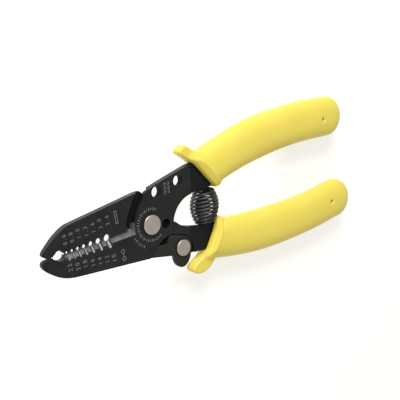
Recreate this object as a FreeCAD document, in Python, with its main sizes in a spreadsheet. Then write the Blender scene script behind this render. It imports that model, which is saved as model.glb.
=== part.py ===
import FreeCAD, Part
import math
import os
import Sketcher
from FreeCAD import Vector, Rotation, Placement

# Wire stripper with two pivoting steel blades, a barrel return spring, a lock
# lever and two moulded vinyl grips, closed and latched.
#
# Frame: origin at the middle of the closed tool's bounding box, in the middle
#        plane of the blades, 35.4 mm from the pivot axis towards the grips.
#        +X towards the grips' ends (the jaws point to -X),
#        +Y towards the upper handle, +Z out of the front face.
# Every piece is drawn about the pivot axis and set back by pivot_back.

doc = FreeCAD.newDocument("wire_stripper")

# ---------------------------------------------------------------------------
# Driving dimensions
# ---------------------------------------------------------------------------

SIZES = [
    # blades: half thicknesses in z, and x of the step into each grip
    ("plate_half", 1.6), ("lap_half", 0.02), ("tang_half", 1.1),
    ("upper_crease_x", 23.0), ("lower_crease_x", 18.5),
    # cutting edges, jaw edges and the feet of the ground bevels
    ("edge_lower_y", 1.10), ("edge_upper_y", 0.90),
    ("jaw_front_y", 1.50), ("jaw_rear_y", 0.30),
    ("bevel_lower_y", -1.50), ("bevel_upper_y", 3.30),
    ("edge_start_x", -38.95), ("edge_end_x", -9.10), ("edge_wall_x", -7.90),
    ("back_bevel_end_x", -11.20), ("back_bevel_wall_x", -10.50),
    # taper of the nose in z
    ("nose_start_x", -41.5), ("nose_end_x", -52.0), ("nose_half", 0.75),
    # wire notches
    ("notch_one_x", -38.05), ("notch_two_x", -35.75), ("notch_three_x", -33.30),
    ("notch_four_x", -30.65), ("notch_five_x", -27.65), ("notch_six_x", -24.30),
    ("notch_seven_x", -20.45),
    ("notch_one_rad", 0.45), ("notch_two_rad", 0.52), ("notch_three_rad", 0.62),
    ("notch_four_rad", 0.74), ("notch_five_rad", 0.88), ("notch_six_rad", 1.08),
    ("notch_seven_rad", 1.32),
    # pivot rivet, its holes and washer
    ("pivot_shank_rad", 3.0), ("pivot_bore_rad", 3.05), ("pivot_seat_rad", 3.02),
    ("pivot_head_rad", 4.05), ("pivot_head_top", 2.60), ("pivot_tail_rad", 3.7),
    ("pivot_tail_len", 0.8),
    ("washer_thick", 0.28), ("washer_lift", 0.03), ("pivot_washer_rad", 4.42),
    # lock lever, its rivet and washer
    ("latch_x", 13.3), ("latch_y", -14.3), ("latch_shank_rad", 1.9),
    ("latch_bore_rad", 1.95), ("latch_seat_rad", 1.92), ("latch_head_rad", 3.5),
    ("latch_head_top", 2.60), ("latch_tail_rad", 3.0), ("latch_tail_len", 0.7),
    ("latch_washer_rad", 3.85), ("latch_low", 0.03), ("latch_high", 1.57),
    # holes in the front blade
    ("tool_hole_x", 7.1), ("tool_hole_y", -1.8), ("tool_hole_rad", 2.1),
    ("loop_one_x", 5.0), ("loop_one_y", 12.2), ("loop_one_rad", 2.35),
    ("loop_two_x", 16.3), ("loop_two_y", 13.9), ("loop_two_rad", 2.35),
    # spring pegs, spring seats and the spring
    ("peg_x", 30.0), ("peg_low_x", 27.9), ("peg_half", 2.0), ("peg_tip_y", 3.9),
    ("seat_upper_y", 6.9), ("seat_lower_y", -8.3),
    ("spring_wire_rad", 0.60), ("spring_end_rad", 3.55), ("spring_mid_rad", 5.80),
    ("spring_turns", 9.5), ("spring_closed_pitch", 1.28),
    # grips: half thicknesses in z, half width in plan, vent
    ("grip_half", 5.3), ("grip_wide", 9.5), ("collar_half", 5.5),
    ("collar_front", 3.8), ("thumb_half", 2.8), ("tang_fit", 0.08),
    ("vent_x", 104.0), ("vent_y", 20.5), ("vent_rad", 0.75),
    # from the pivot axis to the origin
    ("pivot_back", 35.4),
]
sheet = doc.addObject("Spreadsheet::Sheet", "Sizes")
for row, (alias, value) in enumerate(SIZES, start=1):
    sheet.set("A%d" % row, alias)
    sheet.set("B%d" % row, str(value))
    sheet.setAlias("B%d" % row, alias)
doc.recompute()


def size(alias):
    return float(sheet.get(alias))


def bind(obj, prop, text):
    """Drive a property by an expression, in which <alias> is a cell."""
    obj.setExpression(prop, text.replace("<", "Sizes.").replace(">", ""))


PLATE = size("plate_half")
TANG = size("tang_half")
BACK = size("pivot_back")

# Expressions shared by several features
ABOVE_PLATE = "<plate_half> + 1"
FULL_DEPTH = "6"
FACE_LAYER = "<plate_half> - <lap_half>"
# a layer on the far side of the lap, run 0.3 into the face layer
JOINED_LAYER = "<plate_half> + <lap_half> + 0.3"

# ---------------------------------------------------------------------------
# Plan outlines: points (x, y) about the pivot axis. A "line" run is a chain
# of straight edges, a "curve" run is a smooth curve through its points.
# ---------------------------------------------------------------------------


def circle_run(radius, start_deg, end_deg, count):
    step = (end_deg - start_deg) / (count - 1.0)
    return [(radius * math.cos(math.radians(start_deg + i * step)),
             radius * math.sin(math.radians(start_deg + i * step)))
            for i in range(count)]


def teeth(x_from, x_to, y_first, y_second, count):
    """Zigzag of count teeth, with corners at 0.15 and 0.65 of each step."""
    points = []
    step = (x_to - x_from) / float(count)
    for i in range(count):
        points.append((x_from + step * (i + 0.15), y_first))
        points.append((x_from + step * (i + 0.65), y_second))
    return points


def mirror(points):
    return [(x, -y) for x, y in points]


EDGE_LOWER = size("edge_lower_y")
EDGE_UPPER = size("edge_upper_y")
JAW_FRONT = size("jaw_front_y")
JAW_REAR = size("jaw_rear_y")
EDGE_START = size("edge_start_x")
EDGE_END = size("edge_end_x")
SEAT_UPPER = size("seat_upper_y")
SEAT_LOWER = size("seat_lower_y")

# upper tang, from its inner edge at the spring round to its outer edge at
# the collar
TANG_IN = [(33.0, 7.3), (35.5, 8.75), (38.5, 10.3), (44.0, 12.5), (52.0, 14.6),
           (62.0, 16.2), (74.0, 17.2), (88.0, 17.5), (100.0, 17.1), (106.0, 16.7)]
TANG_END = [(106.0, 16.7), (108.8, 17.2), (110.4, 19.2), (110.4, 21.8),
            (108.9, 23.9), (106.0, 24.7)]
TANG_OUT = [(106.0, 24.7), (96.0, 26.2), (84.0, 26.7), (72.0, 26.3),
            (60.0, 24.9), (50.0, 23.1), (42.0, 21.4), (35.0, 20.1),
            (29.0, 19.55), (25.5, 19.25), (22.1, 18.7)]
# lower tang, the mirror of the upper one but for the ends by the pivot
LOW_IN = [(32.0, SEAT_LOWER), (35.3, -9.4), (38.5, -10.75), (44.0, -12.75),
          (52.0, -14.75)] + mirror(TANG_IN[5:])
LOW_END = mirror(TANG_END)
LOW_OUT = mirror(TANG_OUT[:-1]) + [(22.6, -19.0)]

# lower jaw, from the start of the cutting edge round the nose to the shoulder
LOWER_NOSE = [
    ("curve", [(-39.35, 0.25), (-39.95, -0.75), (-40.9, -1.1), (-41.9, -0.95),
               (-43.0, -0.45), (-44.2, 0.45)]),
    ("line", [(-44.2, 0.45)] + teeth(-44.3, -48.1, 1.0, 0.62, 6) + [(-48.25, 0.66)]),
    ("curve", [(-48.25, 0.66), (-48.85, 0.0), (-49.0, -1.0), (-48.5, -2.2),
               (-47.3, -3.7), (-45.8, -5.1), (-44.1, -6.4), (-42.4, -7.4),
               (-40.6, -8.2), (-38.0, -8.9), (-35.0, -9.4)]),
]
# upper jaw, from the shoulder round the nose to the end of its teeth
UPPER_NOSE = [
    ("curve", [(-36.0, 11.2), (-38.4, 10.35), (-40.6, 9.2), (-42.8, 7.85),
               (-44.8, 6.4), (-46.4, 5.15), (-47.6, 4.1), (-48.1, 3.2),
               (-47.7, 2.3), (-46.9, 1.75)]),
    ("line", [(-46.9, 1.75)] + teeth(-46.9, -44.1, 1.68, 1.3, 4) + [(-44.1, 1.75)]),
]
# hollow between the upper jaw's teeth and its cutting edge
UPPER_HOLLOW = [(-44.1, 1.75), (-43.1, 2.45), (-42.1, 3.05), (-41.3, 3.0),
                (-40.5, 2.4)]

# front blade, front layer: lower jaw, pivot boss and upper handle
BOSS_LEFT = [(-1.5, 13.25), (-1.75, 12.0), (-2.7, 10.4), (-4.2, 8.9), (-5.9, 6.3),
             (-6.9, 4.5), (-7.5, 3.35)]
LOBE = circle_run(11.2, -37.5, -10.5, 7)
CONCAVE_UPPER = [(11.01, -2.04), (11.45, -0.6), (12.2, 0.8), (13.8, 2.9),
                 (15.4, 4.3), (17.3, 5.5), (19.6, 6.35), (22.4, 6.75),
                 (25.0, SEAT_UPPER)]
FRONT_FACE_PLAN = [("line", [(EDGE_START, EDGE_LOWER), (-39.35, 0.25)])] + LOWER_NOSE + [
    ("line", [(-35.0, -9.4), (-3.2, -13.5), (-2.5, -13.4), (1.3, -9.5),
              (4.2, -7.75), (7.7, -7.0), LOBE[0]]),
    ("curve", LOBE),
    ("line", [LOBE[-1], CONCAVE_UPPER[0]]),
    ("curve", CONCAVE_UPPER),
    ("line", [(25.0, SEAT_UPPER), (33.0, SEAT_UPPER), (33.0, 7.3)]),
    ("curve", TANG_IN), ("curve", TANG_END), ("curve", TANG_OUT),
    ("line", [(22.1, 18.7), (12.0, 16.75), (2.6, 14.75), (0.2, 13.95),
              (-1.5, 13.25)]),
    ("curve", BOSS_LEFT),
    ("line", [(-7.5, 3.35), (EDGE_END, 3.3), (EDGE_END, EDGE_LOWER),
              (EDGE_START, EDGE_LOWER)]),
]
# front blade, rear layer: the jaw, cut back round the other blade's boss
FRONT_REAR_JAW = [("line", [(EDGE_START, JAW_REAR), (-39.35, 0.25)])] + LOWER_NOSE + [
    ("line", [(-35.0, -9.4), (-6.0, -13.14)]),
    ("curve", [(-6.0, -13.14), (-6.5, -12.3), (-9.1, -8.9), (-11.0, -5.4),
               (-11.65, -3.4)]),
    ("line", [(-11.65, -3.4), (-10.4, -1.6), (-10.4, JAW_REAR),
              (EDGE_START, JAW_REAR)]),
]
# front blade, rear layer: the upper handle
RECESS = circle_run(10.6, 6.5, 80.5, 9)
CONCAVE_REAR = [(12.45, 1.2)] + CONCAVE_UPPER[3:]
FRONT_REAR_TANG = [
    ("curve", RECESS),
    ("line", [RECESS[-1], (2.46, 14.70), (2.6, 14.75), (12.0, 16.75), (22.1, 18.7)]),
    ("curve", TANG_OUT[::-1]), ("curve", TANG_END[::-1]), ("curve", TANG_IN[::-1]),
    ("line", [(33.0, 7.3), (33.0, SEAT_UPPER), (25.0, SEAT_UPPER)]),
    ("curve", CONCAVE_REAR[::-1]),
    ("line", [(12.45, 1.2), RECESS[0]]),
]

# rear blade, rear layer: upper jaw, pivot boss and lower handle
BOSS_RIGHT = circle_run(10.3, 95.0, -4.0, 12)
CONCAVE_LOWER = [(12.1, -2.6), (13.1, -3.7), (14.4, -4.75), (16.1, -5.7),
                 (17.8, -6.35), (20.6, -7.1), (22.8, -7.75), (25.0, SEAT_LOWER)]
REAR_FACE_PLAN = [("line", [(-4.4, 14.6), (-36.0, 11.2)])] + UPPER_NOSE + [
    ("curve", UPPER_HOLLOW + [(-39.6, 1.55)]),
    ("line", [(-39.6, 1.55), (EDGE_START, EDGE_UPPER), (EDGE_END, EDGE_UPPER),
              (EDGE_END, -3.3), (-7.5, -3.35)]),
    ("curve", mirror(BOSS_LEFT[:0:-1]) + [(-1.6, -13.25)]),
    ("line", [(-1.6, -13.25), (6.9, -15.4)]),
    ("curve", [(6.9, -15.4), (9.2, -16.9), (12.2, -17.9), (15.2, -18.35),
               (18.4, -18.55)]),
    ("line", [(18.4, -18.55), (20.9, -18.6), (22.6, -19.0)]),
    ("curve", LOW_OUT[::-1]), ("curve", LOW_END[::-1]), ("curve", LOW_IN[::-1]),
    ("line", [(32.0, SEAT_LOWER), (25.0, SEAT_LOWER)]),
    ("curve", CONCAVE_LOWER[::-1]),
    ("line", [(12.1, -2.6), (11.3, -2.15), BOSS_RIGHT[-1]]),
    ("curve", BOSS_RIGHT[::-1]),
    ("line", [BOSS_RIGHT[0], (-1.2, 13.75), (-2.1, 14.55), (-4.4, 14.6)]),
]
# rear blade, front layer: the upper jaw, cut back round the other blade's boss
REAR_FRONT_JAW = [("line", [(-4.4, 14.6), (-36.0, 11.2)])] + UPPER_NOSE + [
    ("curve", UPPER_HOLLOW + [(-39.8, JAW_FRONT)]),
    ("line", [(-39.8, JAW_FRONT), (-10.4, JAW_FRONT), (-11.35, 2.45)]),
    ("curve", [(-11.35, 2.45), (-11.6, 3.5), (-11.0, 5.4), (-9.1, 8.9),
               (-6.5, 12.3), (-4.4, 14.6)]),
]
# rear blade, front layer: the lower handle, with the pocket of the lock lever
SHOE = circle_run(11.42, -37.45, -11.6, 7)
REAR_FRONT_TANG = [
    ("curve", SHOE),
    ("line", [SHOE[-1], (12.1, -2.6)]),
    ("curve", CONCAVE_LOWER),
    ("line", [(25.0, SEAT_LOWER), (32.0, SEAT_LOWER)]),
    ("curve", LOW_IN), ("curve", LOW_END), ("curve", LOW_OUT),
    ("line", [(22.6, -19.0), (20.9, -18.6), (19.5, -18.58), (19.5, -14.8)]),
    ("curve", [(19.5, -14.8), (18.55, -13.9), (18.2, -12.9), (17.75, -11.55),
               (16.95, -10.4), (15.3, -9.2)]),
    ("line", [(15.3, -9.2), (11.5, -7.7), SHOE[0]]),
]

LEVER_PLAN = [
    ("line", [(-2.4, -13.52), (1.4, -9.62), (3.9, -10.05), (5.7, -10.4)]),
    ("curve", [(5.7, -10.4), (6.35, -10.0), (6.8, -9.0), (7.3, -8.0), (8.4, -7.2)]),
    ("line", [(8.4, -7.2), (11.5, -8.1)]),
    ("curve", [(11.5, -8.1), (15.0, -9.5), (16.7, -10.75), (17.7, -12.6),
               (17.95, -14.5), (17.5, -16.4), (16.5, -19.1), (14.7, -21.5),
               (12.6, -22.45), (10.7, -22.15), (9.1, -20.7), (8.2, -18.4),
               (8.15, -16.9)]),
    ("curve", [(8.15, -16.9), (7.9, -16.3), (7.2, -15.95)]),
    ("line", [(7.2, -15.95), (-2.4, -13.52)]),
]

# ---------------------------------------------------------------------------
# Sketches and features
# ---------------------------------------------------------------------------


def chain(vectors):
    return [Part.LineSegment(a, b) for a, b in zip(vectors, vectors[1:])]


def curves_of(runs):
    curves = []
    for kind, points in runs:
        vectors = [Vector(x, y, 0) for x, y in points]
        if kind == "line":
            curves += chain(vectors)
        else:
            curve = Part.BSplineCurve()
            curve.interpolate(vectors)
            curves.append(curve)
    return curves


def new_body(name):
    return doc.addObject("PartDesign::Body", name)


def new_sketch(body, name, role, offset_text=None):
    sketch = body.newObject("Sketcher::SketchObject", name)
    plane = [o for o in body.Origin.OriginFeatures if o.Role == role][0]
    sketch.AttachmentSupport = [(plane, "")]
    sketch.MapMode = "FlatFace"
    if offset_text:
        bind(sketch, "AttachmentOffset.Base.z", offset_text)
    return sketch


def plan_sketch(body, name, runs, base_text):
    sketch = new_sketch(body, name, "XY_Plane", base_text)
    sketch.addGeometry(curves_of(runs), False)
    return sketch


def distance(sketch, kind, label, line, point, value, text):
    """Named distance from the sketch origin, driven by the sheet."""
    index = sketch.addConstraint(
        Sketcher.Constraint(kind, -1, 1, line, point, value))
    sketch.renameConstraint(index, label)
    bind(sketch, "Constraints." + label, text)


def finish_cut(body, name, before, least=1e-6):
    """Recompute, and stop if the cut took away too little."""
    doc.recompute()
    if not body.Shape.Volume < before - least:
        raise RuntimeError(name + " removed nothing")


def plan_pad(body, name, runs, base_text, length_text):
    sketch = plan_sketch(body, name + "_plan", runs, base_text)
    pad = body.newObject("PartDesign::Pad", name)
    pad.Profile = sketch
    bind(pad, "Length", length_text)
    doc.recompute()


def plan_pocket(body, name, runs, base_text, length_text, upwards):
    sketch = plan_sketch(body, name + "_plan", runs, base_text)
    before = body.Shape.Volume
    pocket = body.newObject("PartDesign::Pocket", name)
    pocket.Profile = sketch
    pocket.Reversed = upwards
    bind(pocket, "Length", length_text)
    finish_cut(body, name, before)


def hole(body, name, x_text, y_text, rad_text, depth_text):
    """Round pocket towards -Z, from above the front face."""
    sketch = new_sketch(body, name + "_circle", "XY_Plane", ABOVE_PLATE)
    sketch.addGeometry(Part.Circle(Vector(1, 1, 0), Vector(0, 0, 1), 1.0), False)
    sketch.addConstraint(Sketcher.Constraint("Radius", 0, 1.0))
    sketch.renameConstraint(0, "bore_radius")
    bind(sketch, "Constraints.bore_radius", rad_text)
    distance(sketch, "DistanceX", "centre_x", 0, 3, 1.0, x_text)
    distance(sketch, "DistanceY", "centre_y", 0, 3, 1.0, y_text)
    doc.recompute()
    before = body.Shape.Volume
    pocket = body.newObject("PartDesign::Pocket", name)
    pocket.Profile = sketch
    bind(pocket, "Length", depth_text)
    finish_cut(body, name, before)


def placed_hole(body, name, depth_text):
    """Hole whose place and radius are the cells named after it."""
    hole(body, name, "<%s_x>" % name, "<%s_y>" % name, "<%s_rad>" % name, depth_text)


def rectangle(body, name, z_text, x_low, x_high, y_one, y_two):
    low, high = min(y_one, y_two), max(y_one, y_two)
    corners = [(x_low, low), (x_high, low), (x_high, high), (x_low, high), (x_low, low)]
    sketch = plan_sketch(body, name, [("line", corners)], z_text)
    doc.recompute()
    return sketch


def cylinder_cut(body, name, rad_text, height, place):
    before = body.Shape.Volume
    cylinder = body.newObject("PartDesign::SubtractiveCylinder", name)
    cylinder.Height = height
    cylinder.Placement = place
    bind(cylinder, "Radius", rad_text)
    finish_cut(body, name, before)


# ---------------------------------------------------------------------------
# Steps shared by the two blades. side is +1 for the front of the lower jaw
# and -1 for the back of the upper jaw.
# ---------------------------------------------------------------------------

FACE_CLEAR = 0.6  # how far face cuts run past the plate in z


def bevel_lines(side):
    """y of the cutting edge, and of the bevel's foot on the blade's face."""
    if side > 0:
        return EDGE_LOWER, size("bevel_lower_y")
    return EDGE_UPPER, size("bevel_upper_y")


def bevel(body, name, side):
    """Ground bevel along the cutting edge: a ruled cut from the edge in the
    middle plane out past the blade's face."""
    edge, foot = bevel_lines(side)
    if side > 0:
        x_edge, x_foot = EDGE_END, size("edge_wall_x")
        y_far = 6.0
    else:
        x_edge, x_foot = size("back_bevel_end_x"), size("back_bevel_wall_x")
        y_far = -5.0
    x_low = EDGE_START - 2.2
    stretch = (PLATE + FACE_CLEAR) / PLATE
    x_out = x_edge + (x_foot - x_edge) * stretch
    y_out = edge + (foot - edge) * stretch
    low = rectangle(body, name + "_edge", "0.0", x_low, x_edge, edge, y_far)
    high = rectangle(body, name + "_face",
                     "(<plate_half> + %s) * %d" % (FACE_CLEAR, side),
                     x_low, x_out, y_out, y_far)
    before = body.Shape.Volume
    loft = body.newObject("PartDesign::SubtractiveLoft", name)
    loft.Profile = low
    loft.Sections = [high]
    loft.Ruled = True
    finish_cut(body, name, before, least=10.0)


GROOVE_LENGTH = 9.0
GROOVE_LEAD = 3.0     # length of groove cutter ahead of the edge
GROOVE_OFFSET = 0.38  # axis above the bevel, as a share of the radius
RELIEF_SHIFT = 0.25   # relief's x offset from its notch
RELIEF_CLEAR = 0.5    # relief beyond the plate's face
RELIEF_OVERLAP = 0.03  # relief across the middle plane


def notches(body, side):
    """Seven wire notches: an inclined groove ground along the bevel and an
    upright relief in the other half of the jaw's thickness."""
    edge, foot = bevel_lines(side)
    along = Vector(0, foot - edge, PLATE * side)
    along.normalize()
    outward = Vector(0, side, 0) - along * (along.y * side)
    outward.normalize()
    turn = Rotation(Vector(0, 0, 1), along)
    if side > 0:
        relief_y, relief_z = 0.85, -PLATE - RELIEF_CLEAR
        relief_height = PLATE + RELIEF_CLEAR + RELIEF_OVERLAP
    else:
        relief_y, relief_z = 1.0, -RELIEF_OVERLAP
        relief_height = PLATE + RELIEF_CLEAR
    for word in ["one", "two", "three", "four", "five", "six", "seven"]:
        x = size("notch_%s_x" % word)
        radius = size("notch_%s_rad" % word)
        start = (Vector(x, edge, 0) + outward * (GROOVE_OFFSET * radius)
                 - along * GROOVE_LEAD)
        cylinder_cut(body, "groove_" + word, "<notch_%s_rad>" % word, GROOVE_LENGTH,
                     Placement(start, turn))
        base = Vector(x + RELIEF_SHIFT * side, relief_y, relief_z)
        cylinder_cut(body, "relief_" + word, "<notch_%s_rad> * 0.85 + 0.62" % word,
                     relief_height, Placement(base, Rotation()))


def nose_taper(body, name):
    """Both faces of the nose thin out towards the tip."""
    sketch = new_sketch(body, name + "_profile", "XZ_Plane")
    x_start, x_end = size("nose_start_x"), size("nose_end_x")
    outside = PLATE + FACE_CLEAR
    for face in (1, -1):
        corners = [(x_start, PLATE), (x_start, outside), (x_end, outside),
                   (x_end, size("nose_half")), (x_start, PLATE)]
        sketch.addGeometry(chain([Vector(x, face * z, 0) for x, z in corners]), False)
    before = body.Shape.Volume
    pocket = body.newObject("PartDesign::Pocket", name)
    pocket.Profile = sketch
    pocket.Midplane = True
    pocket.Length = 60.0
    finish_cut(body, name, before)


def tang_steps(body, crease_inner, crease_outer, side):
    """Coined step on both faces where the handle goes into its grip. The
    crease runs between two points, the inner one nearer the spring."""
    x_far, y_far = 125.0, 40.0 * side
    plan = [("line", [(crease_inner[0], 0.0), (x_far, 0.0), (x_far, y_far),
                      (crease_outer[0], y_far), crease_outer, crease_inner,
                      (crease_inner[0], 0.0)])]
    depth = "<plate_half> - <tang_half> + 0.2"
    plan_pocket(body, "front_step", plan, "<plate_half> + 0.2", depth, False)
    plan_pocket(body, "back_step", plan, "-<plate_half> - 0.2", depth, True)


def peg_points():
    """Chamfered peg of the upper handle, pointing down into the spring."""
    chamfer = 0.8
    tip = size("peg_tip_y")
    left = size("peg_x") - size("peg_half")
    right = size("peg_x") + size("peg_half")
    return [(left, 8.6), (left, tip + chamfer), (left + chamfer, tip),
            (right - chamfer, tip), (right, tip + chamfer), (right, 9.2),
            (left, 8.6)]


def spring_peg(body, name, points):
    plan_pad(body, name, [("line", points)], "-<tang_half>", "2 * <tang_half>")


# ---------------------------------------------------------------------------
# Blades and lock lever
# ---------------------------------------------------------------------------


def front_blade():
    """Lower jaw and upper handle."""
    body = new_body("front_blade")
    plan_pad(body, "front_layer", FRONT_FACE_PLAN, "<lap_half>", FACE_LAYER)
    plan_pad(body, "rear_jaw_layer", FRONT_REAR_JAW, "-<plate_half>", JOINED_LAYER)
    plan_pad(body, "rear_tang_layer", FRONT_REAR_TANG, "-<plate_half>", JOINED_LAYER)
    bevel(body, "jaw_bevel", 1)
    notches(body, 1)
    nose_taper(body, "nose_taper")
    crease = size("upper_crease_x")
    tang_steps(body, (crease - 0.9, 6.5), (crease + 0.8, 20.0), 1)
    hole(body, "pivot_bore", "0", "0", "<pivot_bore_rad>", FULL_DEPTH)
    placed_hole(body, "tool_hole", "4")
    placed_hole(body, "loop_one", FULL_DEPTH)
    placed_hole(body, "loop_two", FULL_DEPTH)
    spring_peg(body, "spring_peg", peg_points())
    bind(body, "Placement.Base.x", "-<pivot_back>")
    return body


def rear_blade():
    """Upper jaw and lower handle."""
    body = new_body("rear_blade")
    joined_base = "-<lap_half> - 0.3"
    plan_pad(body, "rear_layer", REAR_FACE_PLAN, "-<plate_half>", FACE_LAYER)
    plan_pad(body, "front_jaw_layer", REAR_FRONT_JAW, joined_base, JOINED_LAYER)
    plan_pad(body, "front_tang_layer", REAR_FRONT_TANG, joined_base, JOINED_LAYER)
    bevel(body, "jaw_bevel_back", -1)
    notches(body, -1)
    nose_taper(body, "nose_taper_upper")
    crease = size("lower_crease_x")
    tang_steps(body, (crease + 0.5, -6.0), (crease - 0.7, -13.0), -1)
    hole(body, "pivot_seat", "0", "0", "<pivot_seat_rad>", FULL_DEPTH)
    hole(body, "latch_seat", "<latch_x>", "<latch_y>", "<latch_seat_rad>", FULL_DEPTH)
    # the upper peg mirrored, then moved along x and 1.2 down
    shift = size("peg_low_x") - size("peg_x")
    spring_peg(body, "spring_peg_lower",
               [(x + shift, -y - 1.2) for x, y in peg_points()])
    bind(body, "Placement.Base.x", "-<pivot_back>")
    return body


def latch_lever():
    body = new_body("latch_lever")
    plan_pad(body, "lever_plate", LEVER_PLAN, "<latch_low>", "<latch_high> - <latch_low>")
    hole(body, "lever_bore", "<latch_x>", "<latch_y>", "<latch_bore_rad>", "4")
    bind(body, "Placement.Base.x", "-<pivot_back>")
    return body


# ---------------------------------------------------------------------------
# Rivets, and the washers under their heads
# ---------------------------------------------------------------------------


def rivet(prefix, x_text, y_text):
    """Turned rivet: low domed head, shank, and a formed tail behind the
    blades. Half profile in the XZ plane, turned round Z."""
    body = new_body(prefix + "_rivet")
    sketch = new_sketch(body, prefix + "_rivet_profile", "XZ_Plane")
    shank, head = size(prefix + "_shank_rad"), size(prefix + "_head_rad")
    tail, top = size(prefix + "_tail_rad"), size(prefix + "_head_top")
    head_z = PLATE + size("washer_lift") + size("washer_thick") + 0.02
    tail_z = -PLATE - 0.03
    end_z = tail_z - size(prefix + "_tail_len")
    chamfer = 0.3
    points = [(0, top), (head - 0.75, top - 0.04), (head - 0.25, top - 0.2),
              (head, top - 0.5), (head, head_z), (shank, head_z), (shank, tail_z),
              (tail, tail_z), (tail, end_z + chamfer), (tail - chamfer, end_z),
              (0, end_z)]
    count = len(points)
    sketch.addGeometry(chain([Vector(x, z, 0) for x, z in points + points[:1]]), False)
    for i in range(count):
        sketch.addConstraint(Sketcher.Constraint("Coincident", i, 2, (i + 1) % count, 1))
    # both ends of the profile lie on the axis
    sketch.addConstraint(Sketcher.Constraint("PointOnObject", 0, 1, -2))
    sketch.addConstraint(Sketcher.Constraint("PointOnObject", count - 1, 1, -2))
    distance(sketch, "DistanceX", "shank", 5, 2, shank, "<%s_shank_rad>" % prefix)
    distance(sketch, "DistanceX", "head", 4, 1, head, "<%s_head_rad>" % prefix)
    distance(sketch, "DistanceX", "tail", 7, 2, tail, "<%s_tail_rad>" % prefix)
    distance(sketch, "DistanceY", "top", 0, 1, top, "<%s_head_top>" % prefix)
    turned = body.newObject("PartDesign::Revolution", prefix + "_rivet_turned")
    turned.Profile = sketch
    turned.ReferenceAxis = (sketch, ["V_Axis"])
    turned.Angle = 360.0
    bind(body, "Placement.Base.x", x_text + " - <pivot_back>")
    bind(body, "Placement.Base.y", y_text)
    doc.recompute()
    return body


def washer(prefix, x_text, y_text):
    name = prefix + "_washer"
    disc = doc.addObject("Part::Cylinder", name + "_disc")
    bind(disc, "Radius", "<%s_washer_rad>" % prefix)
    bind(disc, "Height", "<washer_thick>")
    bore = doc.addObject("Part::Cylinder", name + "_hole")
    bind(bore, "Radius", "<%s_shank_rad> + 0.06" % prefix)
    bind(bore, "Height", "<washer_thick> + 2")
    bore.Placement = Placement(Vector(0, 0, -1), Rotation())
    ring = doc.addObject("Part::Cut", name)
    ring.Base = disc
    ring.Tool = bore
    bind(ring, "Placement.Base.x", x_text + " - <pivot_back>")
    bind(ring, "Placement.Base.y", y_text)
    bind(ring, "Placement.Base.z", "<plate_half> + <washer_lift>")
    doc.recompute()
    return ring


# ---------------------------------------------------------------------------
# Return spring
# ---------------------------------------------------------------------------


def spring_shape():
    """Barrel coil spring along Y, with closed end coils."""
    per_turn = 16
    seat_gap = 0.06
    barrel_power = 0.8  # shapes the swell of the radius and the lean in x
    turns = size("spring_turns")
    wire = size("spring_wire_rad")
    end_rad, mid_rad = size("spring_end_rad"), size("spring_mid_rad")
    low_x, high_x = size("peg_low_x"), size("peg_x")
    y_low = SEAT_LOWER + wire + seat_gap
    y_high = SEAT_UPPER - wire - seat_gap
    closed = size("spring_closed_pitch")
    active = ((y_high - y_low) - 2.0 * closed) / (turns - 2.0)
    points = []
    total = int(turns * per_turn)
    for i in range(total + 1):
        turn = turns * i / float(total)
        if turn < 1.0:
            y = y_low + closed * turn
        elif turn > turns - 1.0:
            y = y_high - closed * (turns - turn)
        else:
            y = y_low + closed + active * (turn - 1.0)
        share = min(1.0, max(0.0, (y - y_low) / (y_high - y_low)))
        radius = end_rad + (mid_rad - end_rad) * math.sin(math.pi * share) ** barrel_power
        angle = -2.0 * math.pi * turn - math.pi * 0.25
        middle = low_x + (high_x - low_x) * share ** barrel_power
        points.append(Vector(middle + radius * math.cos(angle), y,
                             radius * math.sin(angle)))
    path = Part.BSplineCurve()
    path.interpolate(points)
    spine = Part.Wire([path.toShape()])
    tangent = path.tangent(path.FirstParameter)[0]
    section = Part.Wire([Part.Circle(points[0], tangent, wire).toShape()])
    return spine.makePipeShell([section], True, True)


def return_spring():
    spring = doc.addObject("Part::Feature", "return_spring")
    spring.Shape = spring_shape()
    bind(spring, "Placement.Base.x", "-<pivot_back>")
    return spring


# ---------------------------------------------------------------------------
# Grips. Tables are for the upper grip; side is +1 for it, -1 for the lower.
# ---------------------------------------------------------------------------

# sleeve sections: centre x, y; direction of the section's width x, y;
# added to the half width grip_wide; added to the half thickness grip_half
SLEEVE = [
    (31.0, 15.1, -13.2, 15.0, 0.1, 0.0),
    (36.0, 16.4, -10.5, 16.0, 0.15, 0.0),
    (43.5, 18.2, -6.6, 17.9, 0.05, 0.0),
    (52.0, 19.75, -3.4, 18.6, 0.1, 0.0),
    (62.0, 21.0, -1.6, 19.2, 0.1, 0.0),
    (74.0, 21.85, -0.5, 19.0, 0.0, 0.0),
    (87.0, 22.05, 0.0, 19.0, -0.05, 0.0),
    (99.0, 21.6, 0.9, 19.0, 0.0, 0.0),
    (107.2, 20.9, 1.6, 18.8, -0.1, -0.05),
    (112.2, 20.2, 2.0, 17.0, -1.0, -0.5),
    (116.0, 19.2, 2.0, 13.0, -3.2, -1.6),
    (118.4, 18.5, 2.0, 10.0, -5.6, -2.9),
    (119.5, 18.2, 2.0, 10.0, -7.9, -4.2),
]
SECTION_POWER = 2.25  # superellipse: 2 is an ellipse, more is squarer

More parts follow.
